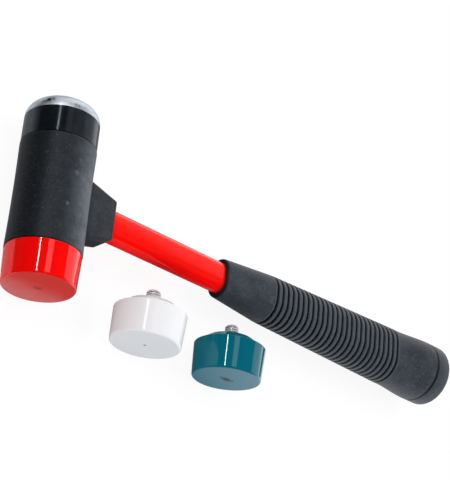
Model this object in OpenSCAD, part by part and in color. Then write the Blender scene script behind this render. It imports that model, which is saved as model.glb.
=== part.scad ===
// Hammer with screw-in striking faces, lying on its side with two spare faces beside it.
// The head axis runs along Y, with the steel face towards +Y, and the handle runs along +X.
// The origin is on the surface that the hammer lies on, in the middle of the whole set's outline.

/* [Head] */
// Radius of the moulded head shell at its waist
shell_waist_r = 20; // [19.4:0.1:20.2]
// Radius of the shell at its two ends
shell_end_r = 20.35; // [20.3:0.05:21]
// From the handle's axis to the shell's end at the red face
red_end = 31; // [30:0.5:34]
// From the handle's axis to the shell's end at the steel face
steel_end = 29.5; // [29:0.5:34]
// Radius of the steel core inside the shell
core_r = 15.5; // [14.5:0.5:16]
// Diameter of the spring pin that holds the tube in the core
pin_d = 5; // [4:0.5:6]

/* [Handle socket] */
// From the head's axis to the socket's end
socket_end = 37; // [34:0.5:42]
// Half the socket's height at its end
socket_tip_half = 11.4; // [10.9:0.1:12]
// Half the socket's height where it is deep in the shell
socket_root_half = 18.3; // [15:0.1:19]
// Half the socket's thickness
socket_half_t = 8.2; // [8:0.1:9.5]
// Radius of the socket's edges
socket_edge_r = 1.4; // [0.8:0.1:1.6]

/* [Screw-in faces] */
// Radius of a face where it meets the shell
face_rim_r = 20.1; // [19.9:0.05:20.2]
// Radius of a soft face at its striking end
soft_front_r = 19.4; // [18.8:0.1:19.6]
// Height of a soft face from its rim to its striking end
soft_h = 19; // [16:0.5:24]
// Rounding of a soft face's striking edge
soft_edge_r = 1.3; // [0.8:0.1:2]
// Width of the flat land around a face's back
rim_land = 0.8; // [0.6:0.1:1]
// Radius of the flat on top of a face's centring cone
cone_top_r = 13; // [12:0.5:14]
// Height of the centring cone
cone_h = 4.3; // [3.5:0.1:5]
// Height of the steel face's blackened skirt
skirt_h = 15; // [12:0.5:18]
// Rounding between the skirt and the polished crown
crown_edge_r = 9.5; // [6:0.5:11]
// Tilt of the crown where the rounding ends, in degrees
crown_tilt = 15; // [10:1:20]

/* [Studs] */
// Outside diameter of the M8 studs
stud_d = 7.9; // [7.8:0.01:7.95]
// Diameter of a stud's plain shank inside its face
shank_d = 7.2; // [6.6:0.1:7.4]
// Diameter of the tapped holes, at the thread's outside
tapped_d = 8; // [8:0.01:8.05]
// Length of a stud that stands out of the cone's flat
stud_free = 8; // [7:0.5:10]
// Depth of a stud's buried end below the rim
stud_buried = 11; // [10:0.5:12]
// Diameter of the flange that is moulded into a soft face
flange_d = 16; // [14:1:18]
// Thickness of that flange
flange_t = 2.5; // [2:0.5:3]

/* [Tube] */
// Height of the flat-sided tube, along the head's axis
tube_h = 18.2; // [17.4:0.1:18.6]
// Thickness of the tube, whose two edges are fully round
tube_t = 12.2; // [11.4:0.1:13.2]
// Wall of the tube
tube_wall = 1.6; // [1.2:0.1:2]
// From the head's axis to the tube's end inside the core
tube_inset = 11; // [10:0.5:11.5]
// From the head's axis to the tube's end inside the grip
tube_end = 284; // [275:1:286]

/* [Grip] */
// From the head's axis to the grip's front end
grip_start = 119.1; // [110:0.1:125]
// Half the grip's height at its front end
grip_front_a = 11.6; // [11.4:0.1:13.5]
// Half the grip's thickness at its front end
grip_front_b = 8.1; // [8.1:0.1:11]
// Rounding of the grip's front edge
grip_lip_r = 1.2; // [0.8:0.1:1.3]
// Half the grip's height at the first groove
groove_front_a = 14.7; // [13.5:0.1:16]
// Half the grip's thickness at the first groove
groove_front_b = 12.3; // [11:0.1:13.5]
// Half the grip's height at the last groove
groove_back_a = 17.8; // [16:0.1:19]
// Half the grip's thickness at the last groove
groove_back_b = 14; // [13:0.1:16]
// From the head's axis to the first groove
first_groove_x = 155.5; // [150:0.1:160]
// From one groove to the next
groove_pitch = 4.07; // [3.6:0.01:4.15]
// Number of grooves round the grip
groove_n = 26; // [10:1:26]
// Width of a groove at the surface
groove_w = 1.5; // [0.8:0.1:1.8]
// Depth of a groove
groove_deep = 1.2; // [0.6:0.1:1.4]
// From the head's axis to the seam between grip and butt cap
seam_x = 290; // [289:0.1:295]
// Radius of the grip and the butt cap at the seam
seam_r = 19; // [18.6:0.1:20]

/* [Butt cap] */
// From the head's axis to the butt's end
butt_end = 301.8; // [298:0.1:308]
// Radius of the butt cap at its end
butt_r = 19; // [18.6:0.1:19.6]
// Rounding of the butt's edge
butt_edge_r = 2.2; // [1:0.1:3]

/* [Spare faces] */
// The white face's rim centre along the handle, from the head's axis
white_x = 74.1; // [70:0.1:78]
// The white face's rim centre along the head, from the handle's axis
white_y = -37.2; // [-45:0.1:-36]
// Turn of the white face on the table, in degrees
white_turn = -2.5; // [-6:0.5:4]
// The teal face's rim centre along the handle, from the head's axis
teal_x = 133.1; // [125:0.1:140]
// The teal face's rim centre along the head, from the handle's axis
teal_y = -37.1; // [-45:0.1:-36]
// Turn of the teal face on the table, in degrees
teal_turn = -0.3; // [-6:0.1:4]

/* [Hidden] */
$fn = 96;

seam_gap = 0.2;          // between a screwed-in face's rim and the shell's end
cone_gap = 0.3;          // between a face's cone and the dish that it sits in
stud_gap = 0.05;         // round a stud's shank inside its face
stud_tip = 1;            // chamfer on a stud's end
end_break = 0.4;         // small chamfer on the shell's ends and at the grip's seam
tapped_depth = 9.5;      // full thread in the core, from the bottom of the dish
drill_angle = 59;        // half the angle of the drill's point
pin_wall = 1;            // wall of the spring pin
pin_slot = 1;            // slot along the spring pin
pin_short = 1;           // from the spring pin's ends to the core's outside
groove_blend = 4;        // from the last groove to where the grip turns round
plug_len = 24;           // length of the plug in the tube's head end
spigot_len = 20;         // length of the butt cap's spigot in the tube
bore_gap = 0.1;          // between the tube and the rubber grip's bore
waist_steps = 10;        // bands along the shell's waisted outline
arc_steps = 8;           // steps in a rounded edge
ring_n = 32;             // points round a ring of the grip

dish_depth = cone_h + cone_gap;
core_red = red_end - dish_depth;
core_steel = steel_end - dish_depth;
skirt_r = face_rim_r;
crown_flat_r = skirt_r - crown_edge_r + crown_edge_r * sin(crown_tilt);
crown_sphere_r = crown_flat_r / sin(crown_tilt);
crown_h = crown_edge_r * cos(crown_tilt) + crown_sphere_r * (1 - cos(crown_tilt));

// A soft face lies on its tapered side, so its axis is tipped by the taper.
lie_tilt = atan((face_rim_r - soft_front_r) / soft_h);

// How far a lying soft face reaches in front of its rim centre, along -Y
function front_reach(turn) =
    let (lean = acos(cos(lie_tilt) * cos(turn)))
    (soft_h - soft_edge_r) * cos(lean) + (soft_front_r - soft_edge_r) * sin(lean) + soft_edge_r;

low_y = min(white_y - front_reach(white_turn), teal_y - front_reach(teal_turn),
            -red_end - seam_gap - soft_h);
high_y = steel_end + seam_gap + skirt_h + crown_h;
mid_x = (butt_end - shell_end_r) / 2;
mid_y = (low_y + high_y) / 2;

// Points of an arc about c, from angle a0 to a1
function arc(c, r, a0, a1, n = arc_steps) =
    [for (i = [0:n]) let (a = a0 + (a1 - a0) * i / n) [c[0] + r * cos(a), c[1] + r * sin(a)]];

// Moves what is drawn about the crossing of the head's and the handle's axes to its place
module at_hammer() {
    translate([-mid_x, -mid_y, shell_end_r]) children();
}

// Moves what is drawn along Z so that it runs along the head, towards the steel face
module along_head() {
    rotate([-90, 0, 0]) children();
}

// Extrudes a flat outline, height across and thickness up, from x0 to x1 along the handle
module along_handle(x0, x1) {
    translate([x0, 0, 0]) rotate([90, 0, 90]) linear_extrude(height = x1 - x0) children();
}

// The flat-sided tube's outline, with its sides moved in by wall
module tube_outline(wall = 0) {
    r = tube_t / 2 - wall;
    square([tube_h - tube_t, 2 * r], center = true);
    for (side = [-1, 1])
        translate([side * (tube_h - tube_t) / 2, 0]) circle(r);
}

// ---- head ----

// The dish that a face's centring cone sits in, opening along +Z at z = 0
module dish() {
    rotate_extrude() polygon([
        [0, -dish_depth],
        [cone_top_r + cone_gap, -dish_depth],
        [face_rim_r - rim_land + cone_gap, 0],
        [face_rim_r - rim_land + cone_gap, 1],
        [0, 1]
    ]);
}

// The shell's waisted outside
module shell_barrel() {
    length = red_end + steel_end;
    function waist(t) = shell_waist_r + (shell_end_r - shell_waist_r) * pow(2 * t - 1, 2);
    sides = [for (i = [0:waist_steps])
        let (t = i / waist_steps, z = -red_end + end_break + t * (length - 2 * end_break))
        [waist(t), z]];
    rotate_extrude() polygon(concat(
        [[0, -red_end], [shell_end_r - end_break, -red_end]],
        sides,
        [[shell_end_r - end_break, steel_end], [0, steel_end]]
    ));
}

// The tapering socket that carries the handle
module socket_block() {
    root_x = 12;
    inner_t = socket_half_t - socket_edge_r;
    hull()
        for (end = [[root_x, socket_root_half], [socket_end - socket_edge_r, socket_tip_half]],
             side = [-1, 1], face = [-1, 1])
            translate([end[0], side * (end[1] - socket_edge_r), face * inner_t])
                sphere(socket_edge_r, $fn = 24);
}

module head_shell() {
    color("#2b2e33") at_hammer() difference() {
        union() {
            along_head() shell_barrel();
            socket_block();
        }
        along_head() {
            translate([0, 0, -core_red]) cylinder(r = core_r, h = core_red + core_steel);
            translate([0, 0, steel_end]) dish();
            translate([0, 0, -red_end]) mirror([0, 0, 1]) dish();
        }
        along_handle(0, socket_end + 1) tube_outline();
    }
}

// A tapped hole that opens along +Z at z = 0, with the drill's point at its bottom
module tapped_hole() {
    r = tapped_d / 2;
    rotate_extrude() polygon([
        [0, 1], [r, 1], [r, -tapped_depth], [0, -tapped_depth - r / tan(drill_angle)]
    ]);
}

module head_core() {
    color("#9a9ca0") at_hammer() difference() {
        along_head() translate([0, 0, -core_red]) cylinder(r = core_r, h = core_red + core_steel);
        along_head() {
            translate([0, 0, core_steel]) tapped_hole();
            translate([0, 0, -core_red]) mirror([0, 0, 1]) tapped_hole();
        }
        along_handle(-tube_inset, core_r + 1) tube_outline();
        cylinder(d = pin_d, h = 3 * core_r, center = true);
    }
}

// The slotted spring pin that holds the tube and its plug in the core
module handle_pin() {
    color("#85878b") at_hammer() translate([0, 0, pin_short - core_r]) difference() {
        cylinder(d = pin_d, h = 2 * (core_r - pin_short));
        translate([0, 0, -1]) cylinder(d = pin_d - 2 * pin_wall, h = 2 * core_r);
        translate([0, -pin_slot / 2, -1]) cube([pin_d, pin_slot, 2 * core_r]);
    }
}

// ---- handle ----

module tube_plug() {
    color("#c9c4b4") at_hammer() difference() {
        along_handle(-tube_inset, plug_len - tube_inset) tube_outline(tube_wall);
        cylinder(d = pin_d, h = tube_t, center = true);
    }
}

module handle_tube() {
    color("#e8261c") at_hammer() difference() {
        along_handle(-tube_inset, tube_end) difference() {
            tube_outline();
            tube_outline(tube_wall);
        }
        cylinder(d = pin_d, h = 2 * tube_t, center = true);
    }
}

last_groove_x = first_groove_x + groove_pitch * (groove_n - 1);
blend_x = last_groove_x + groove_blend;

// Half height and half thickness of the grip's flat-sided section at x
function between(x, x0, x1) = min(1, max(0, (x - x0) / (x1 - x0)));
function eased(t) = t * t * (3 - 2 * t);
function step(x, from, front, back, to) =
    from + (front - from) * between(x, grip_start, first_groove_x)
         + (back - front) * between(x, first_groove_x, last_groove_x)
         + (to - back) * eased(between(x, blend_x, seam_x));
function half_a(x) = step(x, grip_front_a, groove_front_a, groove_back_a, seam_r);
function half_b(x) = step(x, grip_front_b, groove_front_b, groove_back_b, seam_r);

// From its middle to the edge of an outline with flat sides and fully round ends
function reach(turn, a, b) =
    let (flat = a - b, c = abs(cos(turn)), s = abs(sin(turn)))
    b * c <= flat * s ? b / s : flat * c + sqrt(b * b - pow(flat * s, 2));

// One such outline at x, a half high and b half thick, as points at even angles
function ring(x, a, b) = [for (i = [0:ring_n - 1])
    let (turn = 360 * i / ring_n, d = reach(turn, a, b)) [x, d * cos(turn), d * sin(turn)]];
function grip_ring(x, deep) = ring(x, half_a(x) - deep, half_b(x) - deep);
function bore_ring(x) = ring(x, tube_h / 2 + bore_gap, tube_t / 2 + bore_gap);

// The stations along the grip, each as [x, how far its surface is moved in]
lip = [for (a = [0:30:90]) [grip_start + grip_lip_r * (1 - sin(a)), grip_lip_r * (1 - cos(a))]];
grooves = [for (i = [0:groove_n - 1], side = [-1, 0, 1])
    [first_groove_x + groove_pitch * i + side * groove_w / 2, side == 0 ? groove_deep : 0]];
tail = [for (i = [0:5]) [blend_x + (seam_x - end_break - blend_x) * i / 5, 0]];
stations = concat(
    [for (i = [len(lip) - 1:-1:0]) lip[i]],
    grooves,
    tail,
    [[seam_x, end_break]]
);

module grip() {
    rings = concat([bore_ring(grip_start)], [for (s = stations) grip_ring(s[0], s[1])], [bore_ring(seam_x)]);
    points = [for (ring = rings) each ring];
    ring_count = len(rings);
    function at(ring, i) = (ring % ring_count) * ring_n + i % ring_n;
    faces = [for (ring = [0:ring_count - 1], i = [0:ring_n - 1])
        each [[at(ring, i), at(ring, i + 1), at(ring + 1, i + 1)],
              [at(ring, i), at(ring + 1, i + 1), at(ring + 1, i)]]];
    color("#454a52") at_hammer() polyhedron(points, faces, convexity = 8);
}

module butt_cap() {
    outline = concat(
        [[0, seam_x], [seam_r - end_break, seam_x], [seam_r, seam_x + end_break]],
        arc([butt_r - butt_edge_r, butt_end - butt_edge_r], butt_edge_r, 0, 90),
        [[0, butt_end]]
    );
    color("#3c4047") at_hammer() {
        rotate([0, 90, 0]) rotate_extrude() polygon(outline);
        along_handle(tube_end, seam_x) tube_outline();
        along_handle(tube_end - spigot_len, tube_end) tube_outline(tube_wall);
    }
}

// ---- screw-in faces, drawn along Z with the rim at z = 0 and the stud towards +Z ----

// The cone and the land at a face's back, down to the bore
back_points = [[face_rim_r - end_break / 2, 0], [face_rim_r - rim_land, 0], [cone_top_r, cone_h], [0, cone_h]];

module soft_body() {
    front = arc([soft_front_r - soft_edge_r, soft_edge_r - soft_h], soft_edge_r, -90, -lie_tilt);
    difference() {
        rotate_extrude() polygon(concat([[0, -soft_h]], front, [[face_rim_r, -end_break / 2]], back_points));
        shank(stud_gap, flange_d, cone_h + 1);
    }
}

// The plain shank of a stud and the flange at its foot, grown by gap, with no flange where it is 0
module shank(gap, flange, top) {
    translate([0, 0, -stud_buried - gap]) {
        cylinder(r = shank_d / 2 + gap, h = top + stud_buried + gap);
        if (flange > 0) cylinder(r = flange / 2 + gap, h = flange_t + 2 * gap);
    }
}

// A whole stud: its threaded end stands on the cone's flat
module stud(flange) {
    r = stud_d / 2;
    shank(0, flange, cone_h);
    translate([0, 0, cone_h]) cylinder(r = r, h = stud_free - stud_tip);
    translate([0, 0, cone_h + stud_free - stud_tip]) cylinder(r1 = r, r2 = r - stud_tip, h = stud_tip);
}

module steel_body() {
    rounding = arc([skirt_r - crown_edge_r, -skirt_h], crown_edge_r, crown_tilt - 90, 0, 2 * arc_steps);
    sphere_z = crown_sphere_r - skirt_h - crown_h;
    crown = arc([0, sphere_z], crown_sphere_r, -90, crown_tilt - 90);
    difference() {
        rotate_extrude() polygon(concat(
            [for (i = [0:len(crown) - 2]) crown[i]], rounding, [[skirt_r, -end_break / 2]], back_points));
        shank(stud_gap, 0, cone_h + 1);
    }
}

// Moves a face to the shell's end: out is 1 at the steel end and -1 at the red end
module at_shell_end(out, distance) {
    at_hammer() translate([0, out * distance, 0]) rotate([out * 90, 0, 0]) children();
}

// Lays a soft face on its tapered side
module lying(x, y, turn) {
    translate([x - mid_x, y - mid_y, face_rim_r * cos(lie_tilt)])
        rotate([0, 0, turn]) rotate([lie_tilt - 90, 0, 0]) children();
}

module steel_face() { color("#1d1f22") at_shell_end(1, steel_end + seam_gap) steel_body(); }
module steel_stud() { color("#b9bcc0") at_shell_end(1, steel_end + seam_gap) stud(0); }
module red_face() { color("#e4251b") at_shell_end(-1, red_end + seam_gap) soft_body(); }
module red_stud() { color("#b9bcc0") at_shell_end(-1, red_end + seam_gap) stud(flange_d); }
module white_face() { color("#f1f0ee") lying(white_x, white_y, white_turn) soft_body(); }
module white_stud() { color("#b9bcc0") lying(white_x, white_y, white_turn) stud(flange_d); }
module teal_face() { color("#0b6675") lying(teal_x, teal_y, teal_turn) soft_body(); }
module teal_stud() { color("#b9bcc0") lying(teal_x, teal_y, teal_turn) stud(flange_d); }

head_shell();
head_core();
handle_pin();
tube_plug();
handle_tube();
grip();
butt_cap();
steel_face();
steel_stud();
red_face();
red_stud();
white_face();
white_stud();
teal_face();
teal_stud();
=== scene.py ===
import math
import bmesh
import bpy
from mathutils import Matrix, Vector


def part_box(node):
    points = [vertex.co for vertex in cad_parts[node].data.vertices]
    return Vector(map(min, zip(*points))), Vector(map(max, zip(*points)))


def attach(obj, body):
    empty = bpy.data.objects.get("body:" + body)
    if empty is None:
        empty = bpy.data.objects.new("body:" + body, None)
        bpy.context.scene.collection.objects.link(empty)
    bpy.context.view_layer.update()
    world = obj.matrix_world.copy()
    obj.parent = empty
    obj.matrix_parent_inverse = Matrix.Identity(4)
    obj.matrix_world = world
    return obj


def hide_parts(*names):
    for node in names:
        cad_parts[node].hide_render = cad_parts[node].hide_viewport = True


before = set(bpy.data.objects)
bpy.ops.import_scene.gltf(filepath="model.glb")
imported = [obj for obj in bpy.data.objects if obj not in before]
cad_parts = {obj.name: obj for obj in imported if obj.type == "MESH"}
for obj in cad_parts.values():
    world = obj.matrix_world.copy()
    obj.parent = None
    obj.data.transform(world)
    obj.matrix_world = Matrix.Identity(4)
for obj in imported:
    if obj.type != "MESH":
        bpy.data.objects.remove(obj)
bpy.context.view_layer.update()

mm = 0.001
print("stage: the packed model is in")


def middle(node):
    low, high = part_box(node)
    return (low + high) / 2


# The pieces' places are in mm from the crossing of the head's axis and the handle's axis.
# x runs along the handle to its butt, y along the head to its steel end, and z up.
headMid = middle("head_core")
crossing = Vector((headMid.x, middle("handle_tube").y, headMid.z))


def fromCrossing(x, y, z):
    return crossing + Vector((x, y, z)) * mm


def spanOf(node, axis):
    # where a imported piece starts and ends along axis 0, 1 or 2
    return [(corner[axis] - crossing[axis]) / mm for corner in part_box(node)]


def pick(values, *names):
    return [values[name] for name in names]


def addObject(name, data):
    item = bpy.data.objects.new(name, data)
    bpy.context.scene.collection.objects.link(item)
    return item


viewpoint = {
    "place": (-0.55693, -0.36150, 0.62805),     # metres
    "looksAt": (-0.00013, 0.03214, 0.0),
    "roll": 69.77,      # turn about the line of sight, in degrees
    "lens": 113.97,     # mm
    "film": 36,         # mm along the picture's long side
    "nearest": 0.01,    # metres
}


def makeCamera():
    look = viewpoint
    data = bpy.data.cameras.new("camera")
    data.lens, data.sensor_width, data.clip_start = look["lens"], look["film"], look["nearest"]
    place = Vector(look["place"])
    aim = (Vector(look["looksAt"]) - place).to_track_quat("-Z", "Y").to_matrix()
    roll = Matrix.Rotation(math.radians(look["roll"]), 3, "Z")
    camera = addObject("camera", data)
    camera.matrix_world = Matrix.Translation(place) @ (aim @ roll).to_4x4()
    bpy.context.scene.camera = camera


makeCamera()
print("stage: the camera stands")


def arcPoints(centreR, centreZ, radius, fromDegrees, toDegrees, steps=6):
    points = []
    for i in range(steps + 1):
        a = math.radians(fromDegrees + (toDegrees - fromDegrees) * i / steps)
        points.append((centreR + radius * math.cos(a), centreZ + radius * math.sin(a)))
    return points


def withSupport(profile, closed, support=0.12):
    # a close ring beside every corner keeps flat stretches flat when they are shaded smooth
    result = []
    count = len(profile)
    for i, here in enumerate(profile):
        result.append(here)
        if i == count - 1 and not closed:
            break
        there = profile[(i + 1) % count]
        length = math.dist(here, there)
        if length > 5 * support:
            for share in (support / length, 1 - support / length):
                result.append(tuple(h + (t - h) * share for h, t in zip(here, there)))
    return result


def pieceFrom(name, build):
    # build fills an empty mesh, whose faces are then merged, turned outwards and smooth
    work = bmesh.new()
    build(work)
    bmesh.ops.remove_doubles(work, verts=work.verts, dist=1e-7)
    bmesh.ops.recalc_face_normals(work, faces=work.faces)
    for face in work.faces:
        face.smooth = True
    mesh = bpy.data.meshes.new(name)
    work.to_mesh(mesh)
    work.free()
    return addObject(name, mesh)


def joinRings(work, rings, closed):
    # rings of equal length, or one vertex for a pole
    pairs = list(zip(rings, rings[1:]))
    if closed:
        pairs.append((rings[-1], rings[0]))
    for a, b in pairs:
        size = max(len(a), len(b))
        for i in range(size):
            j = (i + 1) % size
            corners = [a[i % len(a)], a[j % len(a)], b[j % len(b)], b[i % len(b)]]
            unique = list(dict.fromkeys(corners))
            if len(unique) > 2:
                work.faces.new(unique)


def lathe(name, profile, place, closed=False, segments=192):
    # profile: radius and height in mm, turned round the Z axis of place
    def build(work):
        rings = []
        for radius, height in withSupport(profile, closed):
            if radius < 1e-6:
                rings.append([work.verts.new(place @ Vector((0, 0, height * mm)))])
                continue
            ring = []
            for i in range(segments):
                a = 2 * math.pi * i / segments
                spot = Vector((radius * math.cos(a), radius * math.sin(a), height)) * mm
                ring.append(work.verts.new(place @ spot))
            rings.append(ring)
        joinRings(work, rings, closed)

    return pieceFrom(name, build)


def loft(name, sections, closed):
    # sections: rings of points, the first joined to the last where closed
    def build(work):
        rings = [[work.verts.new(p) for p in section] for section in sections]
        joinRings(work, rings, closed)
        if not closed:
            work.faces.new(rings[0])
            work.faces.new(rings[-1])

    return pieceFrom(name, build)


def settle(item):
    # the modifiers' result becomes the piece's own mesh
    graph = bpy.context.evaluated_depsgraph_get()
    mesh = bpy.data.meshes.new_from_object(item.evaluated_get(graph))
    item.modifiers.clear()
    old = item.data
    item.data = mesh
    bpy.data.meshes.remove(old)


def boolean(item, other, operation):
    modifier = item.modifiers.new("cut", "BOOLEAN")
    modifier.operation = operation
    modifier.solver = "EXACT"
    modifier.object = other
    settle(item)
    bpy.data.objects.remove(other)


def creaseByAngle(item, degrees=32):
    # curved walls stay smooth and true corners stay sharp
    work = bmesh.new()
    work.from_mesh(item.data)
    bmesh.ops.remove_doubles(work, verts=work.verts, dist=1e-6)
    for face in work.faces:
        face.smooth = True
    for edge in work.edges:
        if len(edge.link_faces) == 2:
            edge.smooth = edge.calc_face_angle(0) < math.radians(degrees)
    work.to_mesh(item.data)
    work.free()


def finishPiece(item, body, node, material):
    item.data.materials.clear()
    item.data.materials.append(material)
    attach(item, body)
    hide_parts(node)


def alongHead(out, distance):
    # local Z points to the head's steel end where out is 1, and to its soft end where it is -1
    turn = Matrix.Rotation(math.radians(-90 * out), 4, "X")
    return Matrix.Translation(fromCrossing(0, out * distance, 0)) @ turn


# local Z points along the handle to its butt
alongHandle = Matrix.Translation(crossing) @ Matrix.Rotation(math.radians(90), 4, "Y")


class Wire:
    # one output socket of a node tree, so that its maths can be written as arithmetic
    def __init__(self, socket):
        self.socket = socket
        self.tree = socket.id_data

    def node(self, kind, settings=None, values=None, out=0):
        made = self.tree.nodes.new(kind)
        for name, value in (settings or {}).items():
            setattr(made, name, value)
        for name, value in (values or {}).items():
            self.feed(made.inputs[name], value)
        return Wire(made.outputs[out]) if made.outputs else None

    def feed(self, target, value):
        if isinstance(value, Wire):
            self.tree.links.new(value.socket, target)
        elif target.type == "RGBA":
            target.default_value = (*value, 1)
        else:
            target.default_value = value

    def math(self, operation, *others):
        return self.node("ShaderNodeMath", {"operation": operation}, dict(enumerate((self, *others))))

    def mathAfter(self, operation, other):
        return self.node("ShaderNodeMath", {"operation": operation}, {0: other, 1: self})

    def __add__(self, other):
        return self.math("ADD", other)

    def __sub__(self, other):
        return self.math("SUBTRACT", other)

    def __rsub__(self, other):
        return self.mathAfter("SUBTRACT", other)

    def __mul__(self, other):
        return self.math("MULTIPLY", other)

    def __truediv__(self, other):
        return self.math("DIVIDE", other)

    def __rtruediv__(self, other):
        return self.mathAfter("DIVIDE", other)

    __radd__ = __add__
    __rmul__ = __mul__

    def ramp(self, low, high, share=1.0):
        # an eased step from 0 at low to share at high
        return self.node("ShaderNodeMapRange", {"interpolation_type": "SMOOTHSTEP"},
                         {"Value": self, "From Min": low, "From Max": high, "To Max": share})

    def noise(self, size, detail=3.0, rough=0.5):
        # self is a place in mm, and size is the pattern's size in mm
        return self.node("ShaderNodeTexNoise", None,
                         {"Vector": self, "Scale": 1 / size, "Detail": detail, "Roughness": rough})

    def specks(self, size, share):
        # small round spots, share being how wide they are in their cells
        spread = self.node("ShaderNodeTexVoronoi", {"feature": "F1"}, {"Vector": self, "Scale": 1 / size})
        return spread.ramp(share, share * 0.4)

    def vector(self, operation, other, out="Vector"):
        return self.node("ShaderNodeVectorMath", {"operation": operation}, {0: self, 1: other}, out)

    def seenFrom(self, spot):
        return self.vector("SUBTRACT", spot)

    def stretched(self, factors):
        return self.vector("MULTIPLY", factors)

    def along(self, axis):
        return self.vector("DOT_PRODUCT", axis, "Value")

    def distanceTo(self, spot):
        return self.vector("DISTANCE", spot, "Value")

    def scaled(self, factor):
        return self.node("ShaderNodeVectorMath", {"operation": "SCALE"}, {0: self, "Scale": factor})

    def parts(self):
        return [Wire(s) for s in self.node("ShaderNodeSeparateXYZ", None, {0: self}).socket.node.outputs]

    def mixColour(self, first, second):
        # self is the share of second, and 6, 7 and 2 are the node's colour sockets
        return self.node("ShaderNodeMix", {"data_type": "RGBA"}, {0: self, 6: first, 7: second}, 2)

    def mixValue(self, first, second):
        return self.node("ShaderNodeMix", {"data_type": "FLOAT"}, {0: self, 2: first, 3: second})

    def bump(self, strength, depth):
        # self is a height from 0 to 1, and depth is in mm
        return self.node("ShaderNodeBump", None,
                         {"Height": self, "Strength": strength, "Distance": depth * mm})


def startMaterial(name):
    # gives the material, and a wire with the place on it in mm from the crossing
    material = bpy.data.materials.new(name)
    material.use_nodes = True
    material.node_tree.nodes.clear()
    coordinates = material.node_tree.nodes.new("ShaderNodeTexCoord")
    return material, Wire(coordinates.outputs["Object"]).seenFrom(crossing).scaled(1 / mm)


def endMaterial(material, place, values):
    shader = place.node("ShaderNodeBsdfPrincipled", None, values)
    shader.node("ShaderNodeOutputMaterial", None, {"Surface": shader})
    return material


sleeveValues = {
    "waist": 20.0, "end": 20.35, "endRound": 0.7, "coreRadius": 15.5,
    "dishDepth": 4.6, "dishFloor": 13.3, "dishMouth": 19.6,
    "socketRoot": 18.3, "socketTip": 11.4, "socketRootX": 12.0, "socketEnd": 37.0,
    "socketHalfThick": 8.2, "socketRound": 1.4,
    "waistSteps": 12,
    "deep": (0.0020, 0.0026, 0.0036),
    "worn": (0.0050, 0.0064, 0.0088),
    "speck": (0.070, 0.080, 0.095),
    "cloudSize": 14, "grainSize": 0.55, "pebbleSize": 1.25, "mottleSize": 5,
    "film": (0.100, 0.114, 0.134),      # painted sheen: a broad painted highlight, mostly on the side towards the handle
    "paintedSheenLeft": (-16.5, -12, 0.17),     # where it comes in along x, and its share there
    "paintedSheenRight": (-8, 16, 1.05),
    "paintedSheenFoot": (-2, 6),                # where it comes in along z
    "paintedSheenOnSocket": (16, 20, 0.75),     # where it thins along x, and by how much
    "paintedSheenPeakAt": (6, 0, 19),
    "paintedSheenPeakReach": (16, 4, 0.5),
    "scuff": (0.16, 0.17, 0.19),
    "scuffs": [((-0.2, 8.9, 20.1), 1.6), ((0.9, 16.4, 20.1), 0.6), ((-3.2, -9.6, 19.8), 1.2),
               ((-1.5, 13.0, 20.0), 0.4), ((-12.9, 27.0, 15.4), 0.4)],      # place and size
    "roughness": 0.60,
    "bump": (0.55, 0.10),               # strength, and depth in mm
    "gloss": 0.25,
    "tint": (0.78, 0.90, 1.0),
    "sheen": 0.12,
    "sheenSpread": 0.35,
    "sheenTint": (0.80, 0.90, 1.0),
}


def sleeveRubber():
    material, place = startMaterial("sleeveRubber")
    look = sleeveValues
    x, _, z = place.parts()
    cloud = place.noise(look["cloudSize"], 4, 0.6)
    grain = place.noise(look["grainSize"], 3, 0.7)
    pebbles = place.noise(look["pebbleSize"], 2, 0.6).ramp(0.36, 0.66)
    base = (cloud.ramp(0.40, 0.72, 0.6) + pebbles * 0.5).mixColour(look["deep"], look["worn"])
    base = (grain.ramp(0.60, 0.80) * (cloud * 0.6 + 0.25)).mixColour(base, look["speck"])

    # painted sheen: the side towards the handle, brightest in a patch near the top, is painted paler in
    # place of a broad highlight
    paleAndPaintedHighlight = 1 + place.distanceTo(look["paintedSheenPeakAt"]).ramp(*look["paintedSheenPeakReach"])
    film = x.ramp(*look["paintedSheenLeft"]) + x.ramp(*look["paintedSheenRight"]) * paleAndPaintedHighlight
    film = film * z.ramp(*look["paintedSheenFoot"]) * (1 - x.ramp(*look["paintedSheenOnSocket"]))
    mottle = place.noise(look["mottleSize"], 4, 0.65).ramp(0.25, 0.75, 0.5) + grain * 0.6 + 0.15
    base = (film * mottle).mixColour(base, look["film"])
    fine = pebbles * place.specks(1.3, 0.42) * (1 - film * 0.6) * 0.34
    base = fine.mixColour(base, look["speck"])

    marks = place.specks(2.3, 0.10) * place.noise(5, 2).ramp(0.46, 0.60, 0.6)
    ragged = (place.noise(0.7, 3) - 0.5) * 1.8
    for spot, size in look["scuffs"]:
        spread = place.distanceTo(spot) + ragged
        marks = marks + spread.ramp(size, size * 0.6) * spread.ramp(size * 0.1, size * 0.5, 0.5)
    return endMaterial(material, place, {
        "Base Color": marks.mixColour(base, look["scuff"]),
        "Roughness": look["roughness"] + (cloud - 0.5) * 0.12 + marks * 0.2,
        "Normal": (grain * 0.4 + pebbles * 0.6).bump(*look["bump"]),
        "Specular IOR Level": look["gloss"],
        "Specular Tint": look["tint"],
        "Sheen Weight": look["sheen"],
        "Sheen Roughness": look["sheenSpread"],
        "Sheen Tint": look["sheenTint"],
    })


redEnd, steelEnd = spanOf("head_shell", 1)


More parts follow.
